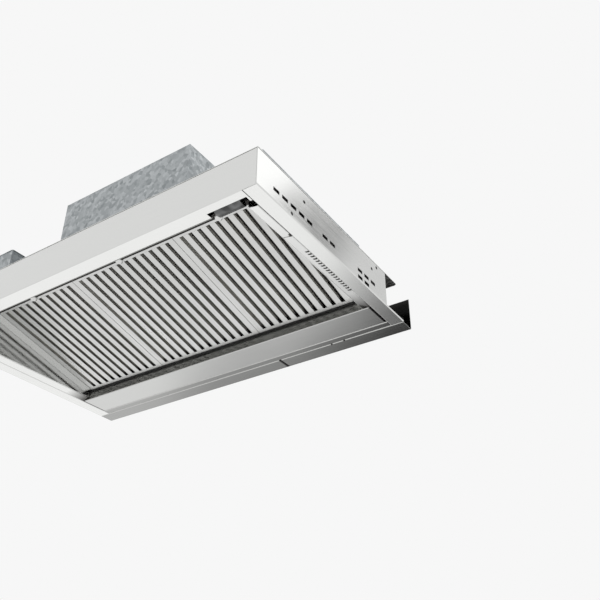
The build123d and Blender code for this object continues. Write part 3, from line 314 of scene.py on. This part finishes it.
# Baffle filters: folded rims with two layers of interleaved channels, of 0.8 mm stainless, satin
# along the slats, which blurs what they mirror. Painted shade darkens the sheet inside the channels,
# in uneven patches, and a painted shadow runs along the front edges.
FILTER_STEEL = ("#c3c4c3", "#d0d0ce")
FILTER_TILT = 13.66             # degrees, front end high
CHANNEL_SHADE_COLOUR = "#aeada9"
CHANNEL_SHADE_STARTS = 0.0010          # height over the plane of the filters' lower faces
CHANNEL_SHADE_FULL = 0.0030
CHANNEL_SHADE_PATCH_MM = 14.0
CHANNEL_SHADE_THINNEST = 0.85
FRONT_SHADOW_REACH = 0.0100             # from the rim's upper front edge, which overhangs the lower one
NOISE_ENDS = (0.3, 0.7)         # a noise texture lies mostly between these
rim_low, rim_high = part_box("filter_centre_frame")


def channel_shade(tree, here, tint):
    """Painted shade by the height over the plane of the filters' lower faces, in uneven patches."""
    slope = tan(radians(FILTER_TILT))
    axes = add(tree, "ShaderNodeSeparateXYZ", {0: here})
    plane = add(tree, "ShaderNodeMath", {0: axes["Y"], 1: slope, 2: -rim_low.z - slope * rim_high.y},
                operation="MULTIPLY_ADD")["Value"]
    height = add(tree, "ShaderNodeMath", {0: axes["Z"], 1: plane}, operation="ADD")["Value"]
    depth = add(tree, "ShaderNodeMapRange",
                {"Value": height, "From Min": CHANNEL_SHADE_STARTS, "From Max": CHANNEL_SHADE_FULL})["Result"]
    patches = add(tree, "ShaderNodeTexNoise",
                  {"Vector": here, "Scale": per_metre(CHANNEL_SHADE_PATCH_MM), "Detail": 3.0})["Fac"]
    uneven = add(tree, "ShaderNodeMapRange",
                 {"Value": patches, "From Min": NOISE_ENDS[0], "From Max": NOISE_ENDS[1],
                  "To Min": CHANNEL_SHADE_THINNEST, "To Max": 1.0})["Result"]
    cover = add(tree, "ShaderNodeMath", {0: depth, 1: uneven}, operation="MULTIPLY")["Value"]
    return over(tree, tint, CHANNEL_SHADE_COLOUR, cover)


# Painted shadow along the filters' front edges, beside the front rail.
front_edge_shadow = patched(PAINTED_SHADE_COLOUR, {"Y": (-FAR, rim_low.y + FRONT_SHADOW_REACH)})
slat_steel = brushed_metal("satin_stainless_filter_slats", FILTER_STEEL, "Y", rough=(0.26, 0.42),
                           bump=0.2, film=layered(channel_shade, front_edge_shadow))
knob_steel = brushed_metal("satin_stainless_latch_knob", FILTER_STEEL, "X", rough=(0.18, 0.30))
for side in ("right", "centre", "left"):
    for part in ("frame", "lower_slats", "upper_slats"):
        finish_nodes(slat_steel, "filter_%s_%s" % (side, part))
    finish_nodes(knob_steel, "filter_%s_latch" % side)

# Rail that the filters' rear edges rest on: an angle of steel on the recess's rear wall, coloured nearly
# black as painted shade for the shadow gap under the filters' rear edges. Its finish is matt and nearly even.
RAIL_SHADE_BLACK = ("#141414", "#1d1d1e")
GRIT_DEPTH = 0.0003


def coated(name, colours, patch_mm, rough, metallic=0.0, bump=0.1, grit_mm=0.6):
    """Painted, plated or moulded surface: mottled, with a grit drawn coarse enough to show."""
    material, tree = start_material(name)
    here = add(tree, "ShaderNodeTexCoord")["Object"]
    patches = add(tree, "ShaderNodeTexNoise",
                  {"Vector": here, "Scale": per_metre(patch_mm), "Detail": 4.0, "Roughness": 0.6})["Fac"]
    grit = add(tree, "ShaderNodeTexNoise",
               {"Vector": here, "Scale": per_metre(grit_mm), "Detail": 2.0})["Fac"]
    tint = add(tree, "ShaderNodeMix", {"Factor": patches, "A": linear(colours[0]), "B": linear(colours[1])},
               data_type="RGBA")["Result"]
    gloss = add(tree, "ShaderNodeMapRange",
                {"Value": patches, "From Min": NOISE_ENDS[0], "From Max": NOISE_ENDS[1],
                 "To Min": rough[0], "To Max": rough[1]})["Result"]
    relief = add(tree, "ShaderNodeBump",
                 {"Height": grit, "Strength": bump, "Distance": GRIT_DEPTH})["Normal"]
    surface = add(tree, "ShaderNodeBsdfPrincipled",
                  {"Base Color": tint, "Metallic": metallic, "Roughness": gloss, "Normal": relief})["BSDF"]
    add(tree, "ShaderNodeOutputMaterial", {"Surface": surface})
    return material


# Painted shade: the rail's near-black colour stands for the shadow gap under the filters.
finish_nodes(coated("black_zinc_rail", RAIL_SHADE_BLACK, patch_mm=9.0, rough=(0.45, 0.6)),
             "filter_rear_rail")

# Control paddle: a rocking strap of grey satin steel in the notch of the front rail, darker where
# fingers press it. It turns on a bright drawn pin in a bracket of black zinc-plated steel, under a
# switch housing of moulded black polyamide, which is slightly rough and not quite black.
PADDLE_STEEL = ("#707171", "#808181")
FINGER_COLOUR = "#2f2f2f"
FINGER_PATCH_MM = 24.0
FINGER_ENDS = (0.35, 0.65)      # noise from clean to pressed
FINGER_THICK = 0.75
DRAWN_STEEL = ("#bfbfc1", "#cfcfd0")
BLACK_ZINC_BRACKET = ("#1b1b1c", "#262627")
BLACK_POLYAMIDE = ("#161617", "#1d1d1f")


def fingered(tree, here, tint):
    """Dark patches where the paddle is pressed."""
    patches = add(tree, "ShaderNodeTexNoise",
                  {"Vector": here, "Scale": per_metre(FINGER_PATCH_MM), "Detail": 1.0})["Fac"]
    cover = add(tree, "ShaderNodeMapRange",
                {"Value": patches, "From Min": FINGER_ENDS[0], "From Max": FINGER_ENDS[1],
                 "To Max": FINGER_THICK})["Result"]
    return over(tree, tint, FINGER_COLOUR, cover)


finish_nodes(brushed_metal("satin_steel_paddle", PADDLE_STEEL, "X", rough=(0.28, 0.4), film=fingered),
             "control_paddle")
# The dampers' rod and the motor's shaft are drawn steel too, and the motor's bracket is plated alike.
finish_nodes(brushed_metal("bright_drawn_steel_pins", DRAWN_STEEL, "X", rough=(0.15, 0.25)),
             "paddle_pin", "damper_rod", "motor_shaft")
finish_nodes(coated("black_zinc_bracket", BLACK_ZINC_BRACKET, patch_mm=12.0, rough=(0.35, 0.5),
                    metallic=0.6), "paddle_bracket", "motor_bracket")
finish_nodes(coated("black_polyamide_switch_housing", BLACK_POLYAMIDE, patch_mm=6.0, rough=(0.5, 0.62),
                    bump=0.25, grit_mm=0.8), "switch_box")

# Lamps: a ring of satin chrome and a lens of frosted glass in the sloped plate. One face of the
# lens was etched, so that it scatters what passes.
FROSTED_GLASS = ("#e6ebe9", "#f2f5f4")
ETCH_MM = 0.5                   # the real pits are finer: drawn coarser, so that they show
ETCH_DEPTH = 0.0002
CLOUD_MM = 8.0
LENS_ROUGHNESS = (0.4, 0.6)
SATIN_CHROME = ("#c4c5c7", "#d2d3d4")
glass_material, tree = start_material("frosted_glass_lens")
here = add(tree, "ShaderNodeTexCoord")["Object"]
etch = add(tree, "ShaderNodeTexNoise", {"Vector": here, "Scale": per_metre(ETCH_MM), "Detail": 3.0})["Fac"]
clouds = add(tree, "ShaderNodeTexNoise", {"Vector": here, "Scale": per_metre(CLOUD_MM), "Detail": 2.0})["Fac"]
tint = add(tree, "ShaderNodeMix",
           {"Factor": clouds, "A": linear(FROSTED_GLASS[0]), "B": linear(FROSTED_GLASS[1])},
           data_type="RGBA")["Result"]
gloss = add(tree, "ShaderNodeMapRange",
            {"Value": etch, "To Min": LENS_ROUGHNESS[0], "To Max": LENS_ROUGHNESS[1]})["Result"]
relief = add(tree, "ShaderNodeBump", {"Height": etch, "Strength": 0.3, "Distance": ETCH_DEPTH})["Normal"]
glass = add(tree, "ShaderNodeBsdfPrincipled",
            {"Base Color": tint, "Transmission Weight": 0.55, "IOR": 1.5, "Roughness": gloss,
             "Normal": relief})["BSDF"]
add(tree, "ShaderNodeOutputMaterial", {"Surface": glass})
finish_nodes(glass_material, "lamp_lens_right", "lamp_lens_left")
finish_nodes(coated("satin_chrome_lamp_ring", SATIN_CHROME, patch_mm=10.0, rough=(0.16, 0.26),
                    metallic=1.0, bump=0.03), "lamp_bezel_right", "lamp_bezel_left")

# Upper box: plenum, blower chamber, scroll, outlet plate, duct collar, lamp cups and wiring box
# of hot-dip galvanised sheet. Its zinc froze in flat crystals of about a fingernail's size, each
# of which mirrors in its own shade of grey.
ZINC = ("#8f9496", "#b4b8ba")
ZINC_ROUGHNESS = (0.34, 0.55)
SPANGLE_MM = 9.0
SPANGLE_EDGE_MM = 2.2           # raggedness of the edges between the crystals
EDGE_SHIFT = 0.003
SPANGLE_DEPTH = 0.0004
zinc_material, tree = start_material("hot_dip_galvanised_sheet")
here = add(tree, "ShaderNodeTexCoord")["Object"]
ragged = add(tree, "ShaderNodeTexNoise",
             {"Vector": here, "Scale": per_metre(SPANGLE_EDGE_MM), "Detail": 2.0})["Color"]
shifted = add(tree, "ShaderNodeVectorMath", {0: ragged, 1: [EDGE_SHIFT] * 3, 2: here},
              operation="MULTIPLY_ADD")["Vector"]
crystals = add(tree, "ShaderNodeTexVoronoi", {"Vector": shifted, "Scale": per_metre(SPANGLE_MM)})["Color"]
tone = add(tree, "ShaderNodeSeparateColor", {0: crystals})
tint = add(tree, "ShaderNodeMix", {"Factor": tone["Red"], "A": linear(ZINC[0]), "B": linear(ZINC[1])},
           data_type="RGBA")["Result"]
gloss = add(tree, "ShaderNodeMapRange",
            {"Value": tone["Green"], "To Min": ZINC_ROUGHNESS[0], "To Max": ZINC_ROUGHNESS[1]})["Result"]
relief = add(tree, "ShaderNodeBump",
             {"Height": tone["Blue"], "Strength": 0.12, "Distance": SPANGLE_DEPTH})["Normal"]
zinc = add(tree, "ShaderNodeBsdfPrincipled",
           {"Base Color": tint, "Metallic": 1.0, "Roughness": gloss, "Normal": relief})["BSDF"]
add(tree, "ShaderNodeOutputMaterial", {"Surface": zinc})
finish_nodes(zinc_material, "plenum_box", "blower_chamber", "duct_collar", "scroll_wrap",
             "scroll_cheek_right", "scroll_cheek_left", "outlet_plate", "junction_box",
             "junction_cover", "lamp_can_right", "lamp_can_left")

# Blower, dampers and wiring box: a wheel of thin galvanised strip, a motor in semi-gloss black baked
# enamel, a capacitor in white moulded ABS, flaps of mill-finish aluminium with a coarse rolled grain,
# and a bushing of dull black rubber.
STRIP_ZINC = ("#7d8183", "#9da1a3")
BLACK_ENAMEL = ("#101011", "#18181a")
WHITE_ABS = ("#d3d3cf", "#dddcd8")
MILL_ALUMINIUM = ("#c9cbcd", "#d6d8da")
BLACK_RUBBER = ("#131313", "#1c1c1c")
finish_nodes(coated("galvanised_strip_wheel", STRIP_ZINC, patch_mm=5.0, rough=(0.3, 0.5), metallic=1.0),
             "blower_wheel")
finish_nodes(coated("black_baked_enamel_motor", BLACK_ENAMEL, patch_mm=20.0, rough=(0.25, 0.38),
                    bump=0.15, grit_mm=1.5), "motor_body")
finish_nodes(coated("white_abs_capacitor_case", WHITE_ABS, patch_mm=15.0, rough=(0.38, 0.5)), "capacitor")
finish_nodes(brushed_metal("mill_finish_aluminium_flaps", MILL_ALUMINIUM, "X", rough=(0.3, 0.42),
                           grain_mm=2.0), "damper_flap_front", "damper_flap_rear")
finish_nodes(coated("black_rubber_bushing", BLACK_RUBBER, patch_mm=7.0, rough=(0.6, 0.75), bump=0.2),
             "wire_bushing")

# Screws: bright zinc-plated pan heads with cross recesses. They hold the plenum to the roof plate,
# the chamber to the plenum, the collar to the chamber and the cover to the wiring box, and each is
# seated face to face.
BRIGHT_ZINC = ("#b3b5b4", "#c8c9c6")
HEAD_R = 0.0036
HEAD_H = 0.0022
HEAD_SIDE = 0.4                 # share of the height that is upright
RECESS_R = 0.62                 # shares of the head's radius
RECESS_HALF_W = 0.15
RECESS_DEPTH = 0.55             # share of the head's height
RINGS = 8
TURNS = 32
BOX_SHEET = 0.001               # thickness of the boxes' flanges and of the collar's
FLANGE_MIDDLE = 0.005           # in from the flanges' edges
SCREW_PITCH = 0.13
COLLAR_SCREWS = 8
COVER_SCREW_IN = 0.008


def pan_heads(name, body, material, places):
    """Screw heads standing upright on the places, in one mesh."""
    verts, faces = [], []
    for place_x, place_y, place_z in places:
        first = len(verts)
        for ring in range(RINGS):
            lift = max(0.0, (ring - 1) / (RINGS - 1)) * pi / 2
            radius = HEAD_R * cos(lift)
            height = HEAD_H * (HEAD_SIDE + (1 - HEAD_SIDE) * sin(lift)) if ring else 0.0
            for turn in range(TURNS):
                angle = 2 * pi * turn / TURNS
                x, y = radius * cos(angle), radius * sin(angle)
                in_cross = min(abs(x), abs(y)) < RECESS_HALF_W * HEAD_R and radius < RECESS_R * HEAD_R
                sunk = RECESS_DEPTH * HEAD_H if in_cross else 0.0
                verts.append((place_x + x, place_y + y, place_z + (height - sunk)))
        for ring in range(RINGS - 1):
            start = first + ring * TURNS
            for turn in range(TURNS):
                a, b = start + turn, start + (turn + 1) % TURNS
                faces.append((a, b, b + TURNS, a + TURNS))
        faces.append([first + (RINGS - 1) * TURNS + turn for turn in range(TURNS)])
        faces.append([first + turn for turn in reversed(range(TURNS))])
    mesh = bpy.data.meshes.new(name)
    mesh.from_pydata(verts, [], faces)
    mesh.materials.append(material)
    heads = bpy.data.objects.new(name, mesh)
    bpy.context.scene.collection.objects.link(heads)
    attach(heads, body)


def along_edges(low, high):
    """Places along the middle of a box's four flanges, about a pitch apart."""
    x0, x1 = low.x + FLANGE_MIDDLE, high.x - FLANGE_MIDDLE
    y0, y1 = low.y + FLANGE_MIDDLE, high.y - FLANGE_MIDDLE
    across, deep = round((x1 - x0) / SCREW_PITCH), round((y1 - y0) / SCREW_PITCH)
    places = [(x0 + (x1 - x0) * (n + 0.5) / across, y) for n in range(across) for y in (y0, y1)]
    places += [(x, y0 + (y1 - y0) * (n + 0.5) / deep) for n in range(deep) for x in (x0, x1)]
    return places


screw_zinc = coated("bright_zinc_screw_heads", BRIGHT_ZINC, patch_mm=3.0, rough=(0.2, 0.35), metallic=1.0)
for node in ("plenum_box", "blower_chamber"):
    low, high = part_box(node)
    pan_heads(node + "_screws", "housing", screw_zinc,
              [(x, y, low.z + BOX_SHEET) for x, y in along_edges(low, high)])
low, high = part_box("duct_collar")
ring_r = (high.x - low.x) / 2 - FLANGE_MIDDLE
centre_y = (low.y + high.y) / 2
angles = [2 * pi * (n + 0.5) / COLLAR_SCREWS for n in range(COLLAR_SCREWS)]
pan_heads("duct_collar_screws", "housing", screw_zinc,
          [(ring_r * cos(a), centre_y + ring_r * sin(a), low.z + BOX_SHEET) for a in angles])
low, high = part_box("junction_cover")
pan_heads("junction_cover_screws", "housing", screw_zinc,
          [(x, y, high.z) for x in (low.x + COVER_SCREW_IN, high.x - COVER_SCREW_IN)
           for y in (low.y + COVER_SCREW_IN, high.y - COVER_SCREW_IN)])

# Floor: plain and pale, far enough below the hood for a look from underneath. What the steel
# mirrors below it is the studio's surround, so the floor only takes the shadow.
FLOOR_COLOUR = "#fafafa"
FLOOR_ROUGHNESS = 0.9
FLOOR_Z = -2.5
FLOOR_HALF = 40.0
corners = [(x * FLOOR_HALF, y * FLOOR_HALF, FLOOR_Z) for x, y in ((-1, -1), (1, -1), (1, 1), (-1, 1))]
floor_mesh = bpy.data.meshes.new("floor")
floor_mesh.from_pydata(corners, [], [(0, 1, 2, 3)])
floor = bpy.data.objects.new("floor", floor_mesh)
bpy.context.scene.collection.objects.link(floor)
floor_material, tree = start_material("pale_floor")
mirrored = add(tree, "ShaderNodeLightPath")["Is Glossy Ray"]
matt = add(tree, "ShaderNodeBsdfPrincipled",
           {"Base Color": linear(FLOOR_COLOUR), "Roughness": FLOOR_ROUGHNESS})["BSDF"]
nothing = add(tree, "ShaderNodeBsdfTransparent")["BSDF"]
shown = add(tree, "ShaderNodeMixShader", {0: mirrored, 1: matt, 2: nothing})["Shader"]
add(tree, "ShaderNodeOutputMaterial", {"Surface": shown})
floor_mesh.materials.append(floor_material)

# Studio: a soft white surround with five dark cards and two bright ones, which give the brushed
# sheets their gradients. The camera sees a plain pale grey in its place.
SURROUND_COLOUR = "#ffffff"
BACKDROP_COLOUR = "#f7f7f7"
# Each card's azimuth and elevation, how far round them it is full and how far it fades out, all in
# degrees, and its change of brightness.
CARDS = (
    (12.0, -22.0, 12.0, 22.5, -0.96),
    (34.0, -23.0, 4.0, 11.0, -0.45),
    (47.0, -40.0, 14.0, 26.0, 0.27),
    (-32.4, 37.4, 0.5, 4.6, -0.78),
    (-25.6, 32.6, 2.0, 5.0, -0.20),
    (-38.0, 42.0, 2.0, 12.0, 0.5),
    (27.0, 32.0, 8.0, 24.0, -0.9),
)
world = bpy.data.worlds.new("studio")
bpy.context.scene.world = world
world.use_nodes = True
tree = world.node_tree
tree.nodes.clear()
toward = add(tree, "ShaderNodeTexCoord")["Generated"]
level = None
for azimuth, elevation, full, faded, change in CARDS:
    a, e = radians(azimuth), radians(elevation)
    facing = add(tree, "ShaderNodeVectorMath", {0: toward, 1: (-sin(a) * cos(e), cos(a) * cos(e), sin(e))},
                 operation="DOT_PRODUCT")["Value"]
    card = add(tree, "ShaderNodeMapRange",
               {"Value": facing, "From Min": cos(radians(faded)), "From Max": cos(radians(full)),
                "To Min": 1.0, "To Max": 1.0 + change}, interpolation_type="SMOOTHSTEP")["Result"]
    if level is None:
        level = card
    else:
        level = add(tree, "ShaderNodeMath", {0: level, 1: card}, operation="MULTIPLY")["Value"]
seen = add(tree, "ShaderNodeLightPath")["Is Camera Ray"]
surround = add(tree, "ShaderNodeBackground",
               {"Color": linear(SURROUND_COLOUR), "Strength": level})["Background"]
backdrop = add(tree, "ShaderNodeBackground", {"Color": linear(BACKDROP_COLOUR)})["Background"]
shown = add(tree, "ShaderNodeMixShader", {0: seen, 1: surround, 2: backdrop})["Shader"]
add(tree, "ShaderNodeOutputWorld", {"Surface": shown})

# Camera: below the hood's front right corner, looking up at it. Its place, angles and focal length
# were fitted to the edges of the hood by least squares.
CAMERA_PLACE = (1.0559, -1.3557, -0.8473)
CAMERA_AZIMUTH = 33.34
CAMERA_PITCH = 32.31
FOCAL_PX = 766.1
PICTURE_PX = 600
SENSOR_MM = 36.0
CLIP = (0.05, 50.0)
camera_data = bpy.data.cameras.new("camera")
camera_data.sensor_width = SENSOR_MM
camera_data.lens = FOCAL_PX / PICTURE_PX * SENSOR_MM
camera_data.clip_start, camera_data.clip_end = CLIP
camera = bpy.data.objects.new("camera", camera_data)
bpy.context.scene.collection.objects.link(camera)
camera.location = CAMERA_PLACE
camera.rotation_euler = (radians(90 + CAMERA_PITCH), 0.0, radians(CAMERA_AZIMUTH))
bpy.context.scene.camera = camera
bpy.context.scene.view_settings.view_transform = "Standard"
